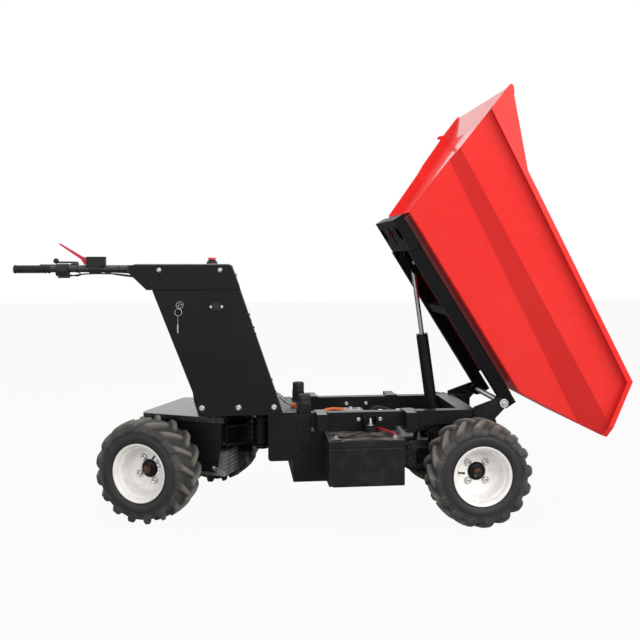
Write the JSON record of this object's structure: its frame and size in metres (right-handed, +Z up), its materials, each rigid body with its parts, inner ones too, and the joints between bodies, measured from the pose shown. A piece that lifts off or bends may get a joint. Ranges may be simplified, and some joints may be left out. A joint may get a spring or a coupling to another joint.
{
  "type": "walk-behind articulated site dumper",
  "caption": "Electric walk-behind site dumper: articulated chassis on wheels, a tipping tub raised by a cylinder, and a console with a handlebar.",
  "frame": {"origin": "bottom centre of the overall box, on the ground", "axes": "+X towards the tub's discharge end, +Y to the machine's left, +Z up; the tub is raised and the rear section is turned by 25 degrees"},
  "size_m": [2.3744, 0.9554, 1.7115],
  "materials": {
    "black_paint": "satin black powder coat",
    "red_paint": "glossy red paint",
    "cream_paint": "satin cream paint",
    "tyre": "dull, dusty on the lugs",
    "rubber": "matte",
    "bright_steel": "polished",
    "cast_alloy": "cast",
    "black_plastic": "fine moulded texture",
    "console_black": "satin black",
    "red_plastic": "glossy"
  },
  "bodies": {
    "chassis": {"frame_rail_right": "black_paint", "frame_rail_left": "black_paint", "tilt_shaft": "bright_steel", "front_cross_plate": "black_paint", "tub_buffer_right": "rubber", "tub_buffer_left": "rubber", "buffer_bolster": "black_paint", "side_plate_right": "black_paint", "side_plate_left": "black_paint", "swivel_fork": "black_paint", "control_box": "black_plastic", "battery_right": "black_plastic", "battery_left": "black_plastic", "battery_tray": "black_paint", "hydraulic_pump": "cast_alloy", "front_subframe": "black_paint", "front_axle": "cast_alloy", "console_body": "console_black", "console_head": "console_black", "handlebar": "black_paint", "grip_right": "rubber", "grip_left": "rubber", "throttle_housing": "black_plastic", "direction_lever": "black_plastic", "lever_housing": "black_plastic", "tip_lever": "red_plastic", "stop_button": "red_plastic"},
    "rear_section": {"swivel_barrel": "black_paint", "rear_frame": "black_paint", "rear_cover": "black_paint", "rear_axle": "cast_alloy"},
    "tub": {"tub_floor": "red_paint", "tub_side_right": "red_paint", "tub_side_left": "red_paint", "tub_rear_wall": "red_paint", "tub_beam_right": "black_paint", "tub_beam_left": "black_paint", "tub_channel": "black_paint", "tub_cross_tube": "black_paint", "rod_bracket": "black_paint", "latch_hook": "red_plastic"},
    "cylinder_barrel": {"cylinder_barrel": "black_paint"},
    "cylinder_rod": {"cylinder_rod": "bright_steel"},
    "front_wheel_right": {"front_tyre_right": "tyre", "front_wheel_right": "cream_paint"},
    "front_wheel_left": {"front_tyre_left": "tyre", "front_wheel_left": "cream_paint"},
    "rear_wheel_right": {"rear_tyre_right": "tyre", "rear_wheel_right": "cream_paint"},
    "rear_wheel_left": {"rear_tyre_left": "tyre", "rear_wheel_left": "cream_paint"}
  },
  "joints": [
    {"name": "bed_tilt", "type": "hinge", "parent": "chassis", "child": "tub", "pos_m": [0.73202, -0.09522, 0.45], "axis": [0, 1, 0], "range_deg": [-58, 0]},
    {"name": "cylinder_swing", "type": "hinge", "parent": "chassis", "child": "cylinder_barrel", "pos_m": [0.49902, -0.09522, 0.3], "axis": [0, 1, 0], "range_deg": [-60.4, 0]},
    {"name": "rod_slide", "type": "slide", "parent": "cylinder_barrel", "child": "cylinder_rod", "axis": [-0.1366, 0, 0.9906], "range_m": [-0.2677, 0]},
    {"name": "articulation", "type": "hinge", "parent": "chassis", "child": "rear_section", "pos_m": [-0.23898, -0.09522, 0.32], "axis": [0, 0, 1], "range_deg": [-5, 55]},
    {"name": "front_wheel_right_spin", "type": "hinge", "parent": "chassis", "child": "front_wheel_right", "pos_m": [0.58902, -0.39522, 0.205], "axis": [0, 1, 0], "continuous": true},
    {"name": "front_wheel_left_spin", "type": "hinge", "parent": "chassis", "child": "front_wheel_left", "pos_m": [0.58902, 0.20478, 0.205], "axis": [0, 1, 0], "continuous": true},
    {"name": "rear_wheel_right_spin", "type": "hinge", "parent": "rear_section", "child": "rear_wheel_right", "pos_m": [-0.69204, -0.21497, 0.205], "axis": [0.4226, 0.9063, 0], "continuous": true},
    {"name": "rear_wheel_left_spin", "type": "hinge", "parent": "rear_section", "child": "rear_wheel_left", "pos_m": [-0.43847, 0.32881, 0.205], "axis": [0.4226, 0.9063, 0], "continuous": true}
  ],
  "couplings": [
    {"joint": "cylinder_swing", "follows": "bed_tilt", "ratio": 1.0412},
    {"joint": "rod_slide", "follows": "bed_tilt", "m_per_rad": 0.26436}
  ]
}
